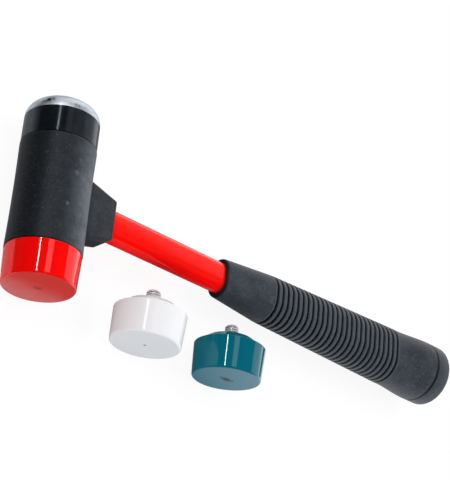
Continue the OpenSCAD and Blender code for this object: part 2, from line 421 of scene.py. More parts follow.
def sleeveBarrel():
    waist, end, endRound, steps = pick(sleeveValues, "waist", "end", "endRound", "waistSteps")
    core, dish, floor, mouth = pick(sleeveValues, "coreRadius", "dishDepth", "dishFloor", "dishMouth")
    profile = [(core, redEnd + dish), (floor, redEnd + dish), (mouth, redEnd)]
    profile += arcPoints(end - endRound, redEnd + endRound, endRound, -90, 0)
    for i in range(1, steps):
        t = i / steps
        y = redEnd + endRound + t * (steelEnd - redEnd - 2 * endRound)
        profile.append((waist + (end - waist) * (2 * t - 1) ** 2, y))
    profile += arcPoints(end - endRound, steelEnd - endRound, endRound, 0, 90)
    profile += [(mouth, steelEnd), (floor, steelEnd - dish), (core, steelEnd - dish)]
    return lathe("headSleeve", profile, alongHead(1, 0), closed=True)


def socketBlock():
    size = sleeveValues

    def build(work):
        corners = []
        for x, half in [(size["socketRootX"], size["socketRoot"]), (size["socketEnd"], size["socketTip"])]:
            for side in (-1, 1):
                for face in (-1, 1):
                    spot = fromCrossing(x, side * half, face * size["socketHalfThick"])
                    corners.append(work.verts.new(spot))
        bmesh.ops.convex_hull(work, input=corners)
        bmesh.ops.dissolve_limit(work, angle_limit=0.01, verts=work.verts, edges=work.edges)
        bmesh.ops.recalc_face_normals(work, faces=work.faces)
        bmesh.ops.bevel(work, geom=list(work.edges), offset=size["socketRound"] * mm, segments=6,
                        profile=0.5, affect="EDGES", clamp_overlap=True)

    return pieceFrom("socketBlock", build)


tubeValues = {
    "height": 18.2, "thick": 12.2, "wall": 1.6, "steps": 24, "endRing": 0.3, "sharpFrom": 40,
    "red": (0.95, 0.0016, 0.0008),
    "deep": (0.88, 0.0010, 0.0006),
    "cloudSize": 6, "peelSize": 1.1,
    "roughness": 0.10,
    "bump": (0.12, 0.02),
    "gloss": 0.30,
    "tint": (1.0, 0.88, 0.70),
}


def tubeOutline(x, wall):
    # a flat-sided outline with fully round edges, as points round the handle's axis
    size = tubeValues
    radius = size["thick"] / 2 - wall
    flat = (size["height"] - size["thick"]) / 2
    points = []
    for side in (1, -1):
        for i in range(size["steps"] + 1):
            a = math.pi * i / size["steps"] - math.pi / 2
            if side < 0:
                a += math.pi
            points.append(fromCrossing(x, side * flat + radius * math.cos(a), radius * math.sin(a)))
    return points


def tubePaint():
    material, place = startMaterial("tubePaint")
    look = tubeValues
    cloud = place.stretched((0.12, 1, 1)).noise(look["cloudSize"], 3, 0.5)
    peel = place.noise(look["peelSize"], 2, 0.5)     # orange peel of the sprayed coat
    specks = place.specks(5, 0.03) * place.noise(8, 2).ramp(0.55, 0.62, 0.5)
    return endMaterial(material, place, {
        "Base Color": (cloud * 0.3 + specks).mixColour(look["red"], look["deep"]),
        "Roughness": look["roughness"] + cloud * 0.06,
        "Normal": peel.bump(*look["bump"]),
        "Specular IOR Level": look["gloss"],
        "Specular Tint": look["tint"],
    })


def makeSleeve():
    sleeve = sleeveBarrel()
    boolean(sleeve, socketBlock(), "UNION")
    past = sleeveValues["socketEnd"] + 5      # well out of the socket's mouth
    boolean(sleeve, loft("hole", [tubeOutline(x, 0) for x in (0, past)], False), "DIFFERENCE")
    low, high = spanOf("head_core", 1)
    radius = sleeveValues["coreRadius"]
    core = lathe("coreSpace", [(0, low), (radius, low), (radius, high), (0, high)], alongHead(1, 0))
    boolean(sleeve, core, "DIFFERENCE")
    creaseByAngle(sleeve)
    finishPiece(sleeve, "hammer", "head_shell", sleeveRubber())


makeSleeve()
print("stage: the head's sleeve is moulded")


steelValues = {
    "rim": 20.1, "skirt": 15.0,
    "edge": 9.5, "tilt": 15,            # the crown's shoulder, and the degrees from the top where it ends
    "land": 0.8, "lip": 0.35,
    "coneTop": 13.0, "cone": 4.3,       # the cone on the stud's side: its small radius and its height
    "bore": 3.65, "boreDeep": 11.05,
    "bright": (0.64, 0.665, 0.71),
    "dull": (0.40, 0.415, 0.45),
    "polishedFrom": (44.65, 44.75),     # along y
    "sweepSize": 3.2, "turnedSize": 0.8, "wobbleSize": 1.6, "stainSize": 2.4, "coatSize": 6,
    "smearAndPaintedReflection": (0.020, 0.022, 0.026),
    # dark spots on the polished crown, painted in as its dark reflection and as smudges
    "smudgesAndPaintedReflection": [((-16.7, 48.2, 9.6), 2.6, 1.0), ((-15.6, 48.7, 11.2), 2.2, 0.7),
                ((-18.2, 47.3, 7.4), 2.2, 0.6), ((-5.9, 46.6, 19.0), 1.5, 0.5),
                ((-4.4, 46.5, 19.4), 1.3, 0.5)],    # place, size and depth
    "black": (0.0055, 0.0068, 0.0088),
    "blackWorn": (0.013, 0.0155, 0.0195),
    "dust": (0.15, 0.16, 0.18),
    "skirtPaintedSheen": (0.100, 0.118, 0.142),
    "skirtPaintedSheenBands": [(-10, -4, 0.12), (3, 13, 0.34), (-18.6, -20.2, 0.4)],     # painted sheen bands on the black skirt: where along x, and its share
    "polishedRoughness": 0.42,
    "blackRoughness": 0.11,
    "bump": (0.12, 0.03),
    "gloss": 0.13,
    "tint": (0.72, 0.86, 1.0),
}


def steelFaceFinish():
    material, place = startMaterial("steelFaceFinish")
    look = steelValues
    x, y, _ = place.parts()
    polished = y.ramp(*look["polishedFrom"])
    sweep = place.stretched((0.35, 1.0, 0.5)).noise(look["sweepSize"], 5, 0.6)
    turned = place.stretched((0.2, 3.0, 0.2)).noise(look["turnedSize"], 3, 0.6)
    metal = sweep.ramp(0.40, 0.75, 0.6).mixColour(look["bright"], look["dull"])
    wobble = (place.noise(look["wobbleSize"], 4, 0.65) - 0.5) * 2.2
    stain = place.stretched((0.45, 1.0, 0.8)).noise(look["stainSize"], 4, 0.65)
    # random stains, and dark spots painted in as the crown's dark reflection of the room
    smearsAndPaintedReflection = stain.ramp(0.62, 0.76, 0.5)
    for spot, size, depth in look["smudgesAndPaintedReflection"]:
        darkSpot = (place.distanceTo(spot) + wobble).ramp(size, size * 0.2, depth)
        smearsAndPaintedReflection = smearsAndPaintedReflection.math("MAXIMUM", darkSpot)
    metal = smearsAndPaintedReflection.mixColour(metal, look["smearAndPaintedReflection"])

    coat = place.noise(look["coatSize"], 4, 0.6)
    black = coat.ramp(0.45, 0.75, 0.6).mixColour(look["black"], look["blackWorn"])
    dust = place.specks(2.2, 0.07) * place.noise(6, 2).ramp(0.48, 0.6, 0.4)
    black = dust.mixColour(black, look["dust"])
    # painted sheen: bands of the glossy black skirt are painted paler in place of its reflections
    skirtPaintedSheen = sum(x.ramp(*band) for band in look["skirtPaintedSheenBands"])
    black = (skirtPaintedSheen * (coat * 0.6 + 0.7)).mixColour(black, look["skirtPaintedSheen"])

    onPolished = look["polishedRoughness"] + turned * 0.14
    onBlack = look["blackRoughness"] + coat * 0.06
    height = turned * polished + place.noise(0.5, 2) * (1 - polished) * 0.3
    return endMaterial(material, place, {
        "Base Color": polished.mixColour(black, metal),
        "Metallic": polished,
        "Roughness": polished * onPolished + (1 - polished) * onBlack,
        "Normal": height.bump(*look["bump"]),
        "Specular IOR Level": look["gloss"],
        "Specular Tint": look["tint"],
    })


def makeSteelFace():
    radius, skirt, edge, land, lip = pick(steelValues, "rim", "skirt", "edge", "land", "lip")
    coneTop, cone, bore, boreDeep = pick(steelValues, "coneTop", "cone", "bore", "boreDeep")
    crownTop = spanOf("steel_face", 1)[1]
    tilt = math.radians(steelValues["tilt"])
    dome = (radius - edge + edge * math.sin(tilt)) / math.sin(tilt)      # the dome's own radius
    rim = crownTop - skirt - (edge * math.cos(tilt) + dome * (1 - math.cos(tilt)))
    shoulderEnd = 90 - steelValues["tilt"]
    profile = [(0, rim + boreDeep), (bore, rim + boreDeep), (bore, rim - cone), (coneTop, rim - cone)]
    profile += [(radius - land, rim), (radius - lip, rim)]
    profile += arcPoints(radius - lip, rim + lip, lip, -90, 0)[1:]
    profile += arcPoints(radius - edge, rim + skirt, edge, 0, shoulderEnd, 20)
    profile += arcPoints(0, crownTop - dome, dome, shoulderEnd, 90, 12)[1:-1]
    profile += [(0, crownTop)]
    face = lathe("steelFace", profile, alongHead(1, 0))
    finishPiece(face, "steel_face", "steel_face", steelFaceFinish())


makeSteelFace()
print("stage: the steel face is turned")


softValues = {
    "rim": 20.1, "front": 19.4, "high": 19.0,
    "edge": 1.3, "land": 0.8, "lip": 0.3,
    "coneTop": 13.0, "cone": 4.3, "coneEdge": (0.25, 0.1),
    "bore": 3.65, "boreDeep": 11.05, "flange": 8.05, "flangeThick": 2.6,
    "cloudSize": 8, "grainSize": 0.35, "rippleSize": 5,
    "struckFrom": (-0.28, -0.12),       # mm to the striking end's plane
    "dimpleReach": (2.6, 2.3),          # the end's dimple counts as struck too
    "paleBelowFrom": (8, -17),              # the lower part of the end is paler, along z from its middle
    "bump": (0.25, 0.05),
}
redValues = {
    "body": "red_face", "studBody": "red_stud",
    "dimple": (1.5, 0.35),      # radius and depth
    "colour": (0.93, 0.0016, 0.0008),
    "shade": (0.85, 0.0010, 0.0006),
    "struck": (0.66, 0.026, 0.018),
    "paleBelow": (0.66, 0.20, 0.20),
    "mark": (0.34, 0.010, 0.008),
    "markSize": 2.8, "markStretch": (0.8, 1.0, 1.0), "markRagged": 3.2, "markDepth": 0.55,
    "roughness": 0.03, "struckRoughness": 0.42, "gloss": 0.50,
    "tint": (1.0, 0.97, 0.93),
}
whiteValues = {
    "body": "white_spare", "studBody": "white_spare",
    "lies": (74.1, -37.2, -2.5),        # x, y and turn in degrees
    "dimple": (0.7, 0.3),
    "colour": (0.86, 0.865, 0.885),
    "shade": (0.83, 0.84, 0.865),
    "struck": (0.76, 0.79, 0.825),
    "paleBelow": (0.78, 0.805, 0.84),
    "mark": (0.05, 0.045, 0.05),
    "markSize": 1.0, "markStretch": (1.0, 1.0, 1.0), "markRagged": 0.2, "markDepth": 0.9,
    "roughness": 0.15, "struckRoughness": 0.45, "gloss": 0.26,
    "tint": (1.0, 1.0, 1.0),
}
tealValues = {
    "body": "teal_spare", "studBody": "teal_spare",
    "lies": (133.1, -37.1, -0.3),
    "dimple": (1.4, 0.35),
    "colour": (0.0003, 0.132, 0.188),
    "shade": (0.0002, 0.098, 0.140),
    "struck": (0.052, 0.185, 0.265),
    "paleBelow": (0.060, 0.195, 0.275),
    "mark": (0.006, 0.040, 0.060),
    "markSize": 3.3, "markStretch": (0.55, 1.0, 1.0), "markRagged": 3.4, "markDepth": 0.95,
    "roughness": 0.03, "struckRoughness": 0.40, "gloss": 0.50,
    "tint": (0.85, 1.0, 1.0),
}
softFaces = {"red": redValues, "white": whiteValues, "teal": tealValues}
faceGap = 0.2      # from the sleeve's end to a fitted face


def mouldedPlastic(name, look, centre, axis):
    # glossy moulded sides, and a striking end with a fine satin grain and a faint mark at its middle
    material, place = startMaterial(name)
    plain = softValues
    onFace = place.seenFrom(centre)
    spread = onFace.stretched(look["markStretch"]).distanceTo((0, 0, 0))
    inDimple = spread.ramp(*plain["dimpleReach"])
    struck = onFace.along(axis).ramp(*plain["struckFrom"]).math("MAXIMUM", inDimple)
    cloud = place.noise(plain["cloudSize"], 3, 0.5)
    grain = place.noise(plain["grainSize"], 3, 0.6)
    ragged = spread + (place.noise(1.2, 3) - 0.5) * look["markRagged"]
    mark = ragged.ramp(look["markSize"], look["markSize"] * 0.5, look["markDepth"]) * struck
    # the striking end turns paler towards its bottom
    paleBelowShare = (onFace.parts()[2] + (cloud - 0.5) * 8).ramp(*plain["paleBelowFrom"])
    colour = (cloud * 0.5).mixColour(look["colour"], look["shade"])
    colour = (struck * 0.85).mixColour(colour, paleBelowShare.mixColour(look["struck"], look["paleBelow"]))
    ripple = place.stretched((1, 0.25, 1)).noise(plain["rippleSize"], 3, 0.5)
    height = grain * struck * 0.8 + ripple * (1 - struck)
    rougher = look["struckRoughness"] - look["roughness"]
    return endMaterial(material, place, {
        "Base Color": mark.mixColour(colour, look["mark"]),
        "Roughness": struck * rougher + look["roughness"] + cloud * 0.04,
        "Normal": height.bump(*plain["bump"]),
        "Specular IOR Level": look["gloss"],
        "Specular Tint": look["tint"],
    })


def softFace(name, place, dimple):
    # local Z runs from the rim to the stud's side, and the striking end is below
    rim, front, high, edge, land, lip = pick(softValues, "rim", "front", "high", "edge", "land", "lip")
    coneTop, cone, (out, down) = pick(softValues, "coneTop", "cone", "coneEdge")
    bore, boreDeep, flange, flangeThick = pick(softValues, "bore", "boreDeep", "flange", "flangeThick")
    taper = math.degrees(math.atan((rim - front) / high))
    radius, depth = dimple
    profile = [(0, depth - high), (radius * 0.6, depth * 0.8 - high), (radius, -high)]
    profile += arcPoints(front - edge, edge - high, edge, -90, -taper, 9)
    profile += arcPoints(rim - lip, -lip, lip, -taper, 90, 5)
    profile += [(rim - land, 0), (coneTop + out, cone - down), (coneTop - out, cone), (bore, cone)]
    profile += [(bore, flangeThick - boreDeep), (flange, flangeThick - boreDeep)]
    profile += [(flange, -boreDeep), (0, -boreDeep)]
    return lathe(name, profile, place)


def facePlace(lies, node):
    # a fitted face is on the head, and a spare one lies on its tapering side
    if lies is None:
        return alongHead(1, redEnd - faceGap)
    x, y, turn = lies
    rim, front, high = pick(softValues, "rim", "front", "high")
    tilt = math.atan((rim - front) / high)
    height = rim * math.cos(tilt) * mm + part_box(node)[0].z
    spot = Vector((crossing.x + x * mm, crossing.y + y * mm, height))
    turned = Matrix.Rotation(math.radians(turn), 4, "Z") @ Matrix.Rotation(tilt - math.pi / 2, 4, "X")
    return Matrix.Translation(spot) @ turned


facePlaces = {name: facePlace(own.get("lies"), name + "_face") for name, own in softFaces.items()}


def makeSoftFaces():
    for name, own in softFaces.items():
        place = facePlaces[name]
        face = softFace(name + "Face", place, own["dimple"])
        centre = (place @ Vector((0, 0, -softValues["high"] * mm)) - crossing) / mm
        axis = place.to_3x3() @ Vector((0, 0, -1))
        plastic = mouldedPlastic(name + "Plastic", own, centre, axis)
        finishPiece(face, own["body"], name + "_face", plastic)


makeSoftFaces()
print("stage: the soft faces are moulded")


class Plan:
    # a Geometry Nodes tree with named inputs, of which the whole numbers are counts
    def __init__(self, name, takesMesh, inputs):
        self.tree = bpy.data.node_groups.new(name, "GeometryNodeTree")
        self.addSocket("Geometry", "OUTPUT", "NodeSocketGeometry")
        if takesMesh:
            self.addSocket("Geometry", "INPUT", "NodeSocketGeometry")
        for label, value in inputs.items():
            kind = "NodeSocketInt" if isinstance(value, int) else "NodeSocketFloat"
            self.addSocket(label, "INPUT", kind).default_value = value
        self.entry = self.tree.nodes.new("NodeGroupInput")

    def addSocket(self, label, way, kind):
        return self.tree.interface.new_socket(label, in_out=way, socket_type=kind)

    def given(self, label):
        return Wire(self.entry.outputs[label])

    def node(self, *details):
        return Wire(self.entry.outputs[0]).node(*details)

    def finish(self, geometry, moved, material):
        # moved says where each point goes, as the Set Position node's Position or Offset
        shaped = self.node("GeometryNodeSetPosition", None, {"Geometry": geometry, **moved})
        smooth = self.node("GeometryNodeSetShadeSmooth", None, {"Geometry": shaped, "Shade Smooth": True})
        real = self.node("GeometryNodeRealizeInstances", None, {"Geometry": smooth})
        painted = self.node("GeometryNodeSetMaterial", None, {"Geometry": real, "Material": material})
        self.node("NodeGroupOutput", None, {"Geometry": painted})

    def applyTo(self, item, values):
        modifier = item.modifiers.new(self.tree.name, "NODES")
        modifier.node_group = self.tree
        for socket in self.tree.interface.items_tree:
            if socket.in_out == "INPUT" and socket.name in values:
                modifier[socket.identifier] = values[socket.name]
        settle(item)


studValues = {
    "radius": 3.95, "pitch": 1.25, "depth": 0.68,
    "crestEnd": 0.14, "rootStart": 0.84,        # shares of half a pitch
    "shank": 3.6, "flange": 8.0, "flangeThick": 2.5,
    "buried": 11.0, "cone": 4.3, "free": 8.0, "chamfer": 1.1,
    "around": 72, "step": 0.09, "sharpFrom": 50,    # steps in mm, and creases in degrees
    "bright": (0.88, 0.89, 0.91),
    "stained": (0.52, 0.50, 0.48),
    # painted shade in the thread's roots
    "paintedRootShade": (0.09, 0.09, 0.10),
    "crestFrom": (3.28, 3.50),      # mm from the stud's axis
    "endFrom": (0.5, 0.15),         # mm below the stud's end
    "metallic": (0.2, 0.30),        # in the roots, and what the crests add
    "roughness": 0.30,
    "bump": (0.15, 0.03),
}


def zincThread(name, centre, axis):
    # plated crests over roots painted dark as painted shade, told apart by how far they stand from the
    # stud's axis, and a plated end
    material, place = startMaterial(name)
    look = studValues
    arm = place.seenFrom(centre)
    reach = arm.vector("CROSS_PRODUCT", axis).distanceTo((0, 0, 0))
    end = studValues["cone"] + studValues["free"]
    onEnd = arm.along(axis).ramp(*[end - short for short in look["endFrom"]])
    crest = reach.ramp(*look["crestFrom"]).math("MAXIMUM", onEnd)
    stain = place.noise(2.2, 3, 0.6).ramp(0.48, 0.70, 0.6)
    grain = place.noise(0.6, 3, 0.6)
    base, more = look["metallic"]
    return endMaterial(material, place, {
        "Base Color": crest.mixColour(look["paintedRootShade"], stain.mixColour(look["bright"], look["stained"])),
        "Metallic": base + crest * more,
        "Roughness": look["roughness"] + grain * 0.15,
        "Normal": grain.bump(*look["bump"]),
    })


def threadPlan(material):
    # a straight bar of many rings, each point of which is moved in or out to the stud's outline
    size = studValues
    length = size["buried"] + size["cone"] + size["free"]
    plan = Plan("rolledThread", False, {
        "Radius": size["radius"] * mm, "Pitch": size["pitch"] * mm, "Depth": size["depth"] * mm,
        "Crest End": size["crestEnd"], "Root Start": size["rootStart"], "Chamfer": size["chamfer"] * mm,
        "Shank Radius": size["shank"] * mm, "Shank End": size["cone"] * mm,
        "Flange Radius": size["flange"] * mm, "Flange End": 0.0,
        "Foot": -size["buried"] * mm, "Length": length * mm,
        "Around": size["around"], "Rings": round(length / size["step"])})
    given = plan.given
    bar = plan.node("GeometryNodeMeshCylinder", {"fill_type": "TRIANGLE_FAN"}, {
        "Vertices": given("Around"), "Side Segments": given("Rings"),
        "Radius": given("Radius"), "Depth": given("Length")})
    x, y, fromMiddle = plan.node("GeometryNodeInputPosition").parts()
    z = fromMiddle + (given("Length") * 0.5 + given("Foot"))
    phase = (z / given("Pitch") - y.math("ARCTAN2", x) / (2 * math.pi)).math("FRACT")
    flank = (phase - 0.5).math("ABSOLUTE") * 2.0
    cut = flank.node("ShaderNodeMapRange", None, {
        "Value": flank, "From Min": given("Crest End"), "From Max": given("Root Start")})
    chamfered = given("Radius") - given("Chamfer") + (given("Foot") + given("Length") - z)
    radius = (given("Radius") - cut * given("Depth")).math("MINIMUM", chamfered)
    radius = z.math("LESS_THAN", given("Shank End")).mixValue(radius, given("Shank Radius"))
    radius = z.math("LESS_THAN", given("Flange End")).mixValue(radius, given("Flange Radius"))
    scale = radius / given("Radius")
    spot = scale.node("ShaderNodeCombineXYZ", None, {0: x * scale, 1: y * scale, 2: z})
    plan.finish(bar, {"Position": spot}, material)
    return plan


def makeStuds():
    size = studValues
    studs = {"steel": (alongHead(-1, -steelEnd - faceGap), "steel_stud")}
    for name, own in softFaces.items():
        studs[name] = facePlaces[name], own["studBody"]
    for name, (place, body) in studs.items():
        foot = (place @ Vector((0, 0, 0)) - crossing) / mm
        zinc = zincThread(name + "Zinc", foot, place.to_3x3() @ Vector((0, 0, 1)))
        stud = addObject(name + "Stud", bpy.data.meshes.new(name + "Stud"))
        # the steel face's stud is plain, and a soft face's has a flange moulded in
        flangeEnd = -size["buried"] + (-1 if name == "steel" else size["flangeThick"])
        threadPlan(zinc).applyTo(stud, {"Flange End": flangeEnd * mm})
        stud.data.transform(place)
        creaseByAngle(stud, size["sharpFrom"])
        finishPiece(stud, body, name + "_stud", zinc)


makeStuds()
print("stage: the studs are threaded")


def makeTube():
    start, end = spanOf("handle_tube", 0)
    ring = tubeValues["endRing"]
    outer = [tubeOutline(x, 0) for x in (start, start + ring, end - ring, end)]
    inner = [tubeOutline(x, tubeValues["wall"]) for x in (end, start)]
    tube = loft("handleTube", outer + inner, True)
    creaseByAngle(tube, tubeValues["sharpFrom"])
    finishPiece(tube, "hammer", "handle_tube", tubePaint())


gripValues = {
    "start": 119.1, "lip": 1.2, "firstGroove": 155.5,
    "atStart": (11.6, 8.1), "atFirstGroove": (14.7, 12.3), "atLastGroove": (17.8, 14.0),   # half sizes
    "pitch": 4.07, "grooves": 26, "grooveWidth": 1.5, "grooveDeep": 1.45, "grooveRound": 0.28,
    "seam": 290.0, "seamRadius": 19.0, "seamRound": 0.6, "blend": 4.0,
    "boreGap": 0.1, "skin": 10.5,       # what is nearer to the axis than skin isn't grooved
    "around": 128, "endRings": 16, "sharpFrom": 62,
    "deep": (0.020, 0.0245, 0.0320),
    "worn": (0.041, 0.0490, 0.0620),
    # pale colour of rubbed patches and specks, also used for the painted highlight on the rib tops
    "paleAndPaintedHighlight": (0.100, 0.113, 0.138),
    "dark": (0.0015, 0.0019, 0.0025),
    "cloudSize": 11, "grainSize": 0.5, "pebbleSize": 1.4, "rubbedSize": 4.5,
    "zoneEdge": 0.2,
    "crestFrom": (0.12, 0.50, 0.34),    # mm from a groove's wall, and the share of the painted crest highlight
    "sunkenFrom": (0.10, -0.05),
    "mouth": (1.4, 0.7, 0.9),           # mm of painted shade on the lip round the tube, and its share
    "paintedSeamShade": (1.35, 1.05, 0.95),     # mm of painted shade to each side of the seam, and its share
    "roughness": 0.58,
    "bump": (0.40, 0.07),
    "gloss": 0.34,
    "tint": (0.85, 0.93, 1.0),
}


def lastGroove():
    return gripValues["firstGroove"] + gripValues["pitch"] * (gripValues["grooves"] - 1)


def gripRubber(name, grooved):
    material, place = startMaterial(name)
    look = size = gripValues
    x = place.parts()[0]
    cloud = place.noise(look["cloudSize"], 5, 0.62)
    grain = place.noise(look["grainSize"], 3, 0.65)
    base = (cloud.ramp(0.32, 0.70, 0.7) + grain * 0.3).mixColour(look["deep"], look["worn"])
    pale = place.noise(look["rubbedSize"], 4, 0.65).ramp(0.54, 0.74, 0.4)
    pale = pale + place.specks(2.6, 0.07) * place.noise(7, 2).ramp(0.5, 0.6, 0.25)
    pale = pale + place.noise(look["pebbleSize"], 2, 0.6).ramp(0.44, 0.70, 0.20)
    pale = pale + grain.ramp(0.60, 0.80, 0.5)
    colour = pale.mixColour(base, look["paleAndPaintedHighlight"])
    roughness = look["roughness"] + (cloud - 0.5) * 0.14
    if grooved:
        pitch, half, edge = size["pitch"], size["grooveWidth"] / 2, look["zoneEdge"]
        first, last = size["firstGroove"] - pitch / 2, lastGroove() + pitch / 2
        across = (((x - first) / pitch).math("FRACT") - 0.5).math("ABSOLUTE") * pitch - half
        inZone = x.ramp(first, first + edge) * x.ramp(last, last - edge)
        # painted highlight: the rib tops are painted paler
        colour = (across.ramp(*look["crestFrom"]) * inZone).mixColour(colour, look["paleAndPaintedHighlight"])
        # painted shade: the groove floors are painted dark, and made rougher
        paintedGrooveShade = across.ramp(*look["sunkenFrom"]) * inZone
        colour = paintedGrooveShade.mixColour(colour, look["dark"])
        roughness = roughness + paintedGrooveShade * 0.4
        # painted shade: the lip round the tube is painted dark
        colour = (x - size["start"]).ramp(*look["mouth"]).mixColour(colour, look["dark"])
    else:
        own = capValues
        stained = place.distanceTo(own["stainAt"]) + (place.noise(0.9, 3) - 0.5) * 1.4
        # the cap turns paler towards its end
        colour = (x - size["seam"]).ramp(*own["palerFrom"]).mixColour(colour, look["paleAndPaintedHighlight"])
        colour = stained.ramp(*own["stainReach"]).mixColour(colour, own["stain"])
    # painted shade: a dark band is painted along the seam between grip and cap
    fromSeam = (x - size["seam"]).math("ABSOLUTE")
    return endMaterial(material, place, {
        "Base Color": fromSeam.ramp(*look["paintedSeamShade"]).mixColour(colour, look["dark"]),
        "Roughness": roughness,
        "Normal": (grain * 0.6 + place.noise(1.8, 2) * 0.4).bump(*look["bump"]),
        "Specular IOR Level": look["gloss"],
        "Specular Tint": look["tint"],
    })


def between(x, low, high):
    return min(1, max(0, (x - low) / (high - low)))


def gripHalf(x, way):
    # half the grip's height where way is 0, and half its thickness where it is 1
    size = gripValues
    front, first, last = [half[way] for half in pick(size, "atStart", "atFirstGroove", "atLastGroove")]
    tail = between(x, lastGroove() + size["blend"], size["seam"])
    half = front + (first - front) * between(x, size["start"], size["firstGroove"])
    half += (last - first) * between(x, size["firstGroove"], lastGroove())
    return half + (size["seamRadius"] - last) * tail * tail * (3 - 2 * tail)


def flatSidedRing(x, halfHigh, halfThick):
    # flat sides and fully round ends, as points at even angles round the handle's axis
    count, flat = gripValues["around"], halfHigh - halfThick
    ring = []
    for i in range(count):
        a = 2 * math.pi * i / count
        c, s = abs(math.cos(a)), abs(math.sin(a))
        if halfThick * c <= flat * s:
            reach = halfThick / s
        else:
            reach = flat * c + math.sqrt(halfThick ** 2 - (flat * s) ** 2)
        ring.append(fromCrossing(x, reach * math.cos(a), reach * math.sin(a)))
    return ring


def gripRing(x, inset):
    return flatSidedRing(x, gripHalf(x, 0) - inset, gripHalf(x, 1) - inset)


def boreRing(x):
    gap = gripValues["boreGap"]
    return flatSidedRing(x, tubeValues["height"] / 2 + gap, tubeValues["thick"] / 2 + gap)


def groovePlan(material):
    # pushes the grip's skin in wherever a groove is near
    size = gripValues
    plan = Plan("gripGrooves", True, {
        "First": 0.0, "Pitch": size["pitch"] * mm, "Count": size["grooves"],
        "Width": size["grooveWidth"] * mm, "Depth": size["grooveDeep"] * mm,
        "Rounding": size["grooveRound"] * mm, "Skin Radius": size["skin"] * mm,
        "Axis Y": crossing.y, "Axis Z": crossing.z})
    given = plan.given
    x, y, z = plan.node("GeometryNodeInputPosition").parts()
    steps = (x - given("First")) / given("Pitch")
    nearest = steps.math("ROUND").math("MAXIMUM", 0.0).math("MINIMUM", given("Count") - 1.0)
    away = (steps - nearest).math("ABSOLUTE") * given("Pitch")
    half = given("Width") * 0.5
    deep = away.ramp(half + given("Rounding"), half - given("Rounding"))
    offY, offZ = y - given("Axis Y"), z - given("Axis Z")
    onSkin = (offY * offY + offZ * offZ).math("SQRT").math("GREATER_THAN", given("Skin Radius"))
    push = deep * onSkin * (given("Depth") * -1.0)
    plan.finish(given("Geometry"), {"Offset": plan.node("GeometryNodeInputNormal").scaled(push)}, material)
    return plan


def grooveStations():
    # close rings where a groove's walls are, and a few on each rib
    size = gripValues
    half, rounding = size["grooveWidth"] / 2, size["grooveRound"]
    marks = [half + rounding * share for share in (-1.1, -0.5, 0, 0.5, 1.1)] + [half + 0.5]
    stations = []
    for i in range(size["grooves"]):
        x = size["firstGroove"] + i * size["pitch"]
        stations += [x - m for m in reversed(marks)] + [x]
        stations += [x + m for m in marks] + [x + size["pitch"] / 2]
    return stations


def evenStations(start, end, steps):
    return [start + (end - start) * (i + 1) / steps for i in range(steps)]


def makeGrip():
    size = gripValues
    lip, rounding, steps = size["lip"], size["seamRound"], size["endRings"]
    rings = [boreRing(size["start"])]
    for degrees in (90, 72, 54, 36, 18, 0):
        a = math.radians(degrees)
        rings.append(gripRing(size["start"] + lip * (1 - math.sin(a)), lip * (1 - math.cos(a))))
    grooved = [size["firstGroove"] - size["pitch"] / 2] + grooveStations()
    tailEnd = size["seam"] - rounding
    stations = evenStations(size["start"] + lip, grooved[0], steps)[:-1] + grooved
    stations += evenStations(lastGroove() + size["pitch"] / 2, tailEnd, steps)
    rings += [gripRing(x, 0) for x in stations]
    for degrees in (30, 60, 90):
        a = math.radians(degrees)
        rings.append(gripRing(tailEnd + rounding * math.sin(a), rounding * (1 - math.cos(a))))
    rings.append(boreRing(size["seam"]))
    grip = loft("grip", rings, True)
    rubber = gripRubber("gripRubber", True)
    groovePlan(rubber).applyTo(grip, {"First": crossing.x + size["firstGroove"] * mm})
    creaseByAngle(grip, size["sharpFrom"])
    finishPiece(grip, "hammer", "grip", rubber)


capValues = {
    "end": 301.8, "radius": 19.0, "edge": 2.2, "seamRound": 0.6,
    "spigotFrom": 264.0, "overlap": (3, 2), "around": 160,
    "palerFrom": (2, 9, 0.40),      # mm behind the seam where the cap turns paler, and its share
    "stain": (0.085, 0.052, 0.034),
    "stainAt": (295.8, 1.2, 18.9),
    "stainReach": (1.9, 0.76, 0.6),
}


def makeButtCap():
    size = capValues
    seam, seamRadius, rounding = gripValues["seam"], gripValues["seamRadius"], size["seamRound"]
    profile = [(0, seam), (seamRadius - rounding, seam)]
    profile += arcPoints(seamRadius - rounding, seam + rounding, rounding, -90, 0, 4)[1:]
    profile += arcPoints(size["radius"] - size["edge"], size["end"] - size["edge"], size["edge"], 0, 90, 9)
    profile += [(0, size["end"])]
    cap = lathe("buttCap", profile, alongHandle, segments=size["around"])
    # behind the tube a stem fills the grip's bore, and a spigot reaches into the tube
    tubeEnd = spanOf("handle_tube", 0)[1]
    intoCap, intoStem = size["overlap"]
    stem = loft("stem", [tubeOutline(x, 0) for x in (tubeEnd, seam + intoCap)], False)
    boolean(cap, stem, "UNION")
    inside = [tubeOutline(x, tubeValues["wall"]) for x in (size["spigotFrom"], tubeEnd + intoStem)]
    boolean(cap, loft("spigot", inside, False), "UNION")
    creaseByAngle(cap)
    finishPiece(cap, "hammer", "butt_cap", gripRubber("capRubber", False))


makeTube()
makeGrip()
makeButtCap()
print("stage: the handle is together")


# pieces inside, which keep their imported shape
insideValues = {
    "castCore": {"bright": (0.50, 0.50, 0.51), "dull": (0.26, 0.26, 0.27), "roughness": 0.38},
    "springSteel": {"bright": (0.42, 0.42, 0.44), "dull": (0.20, 0.20, 0.22), "roughness": 0.32},
    "plugWood": {"pale": (0.58, 0.42, 0.24), "dark": (0.36, 0.23, 0.12), "roughness": 0.65},
}


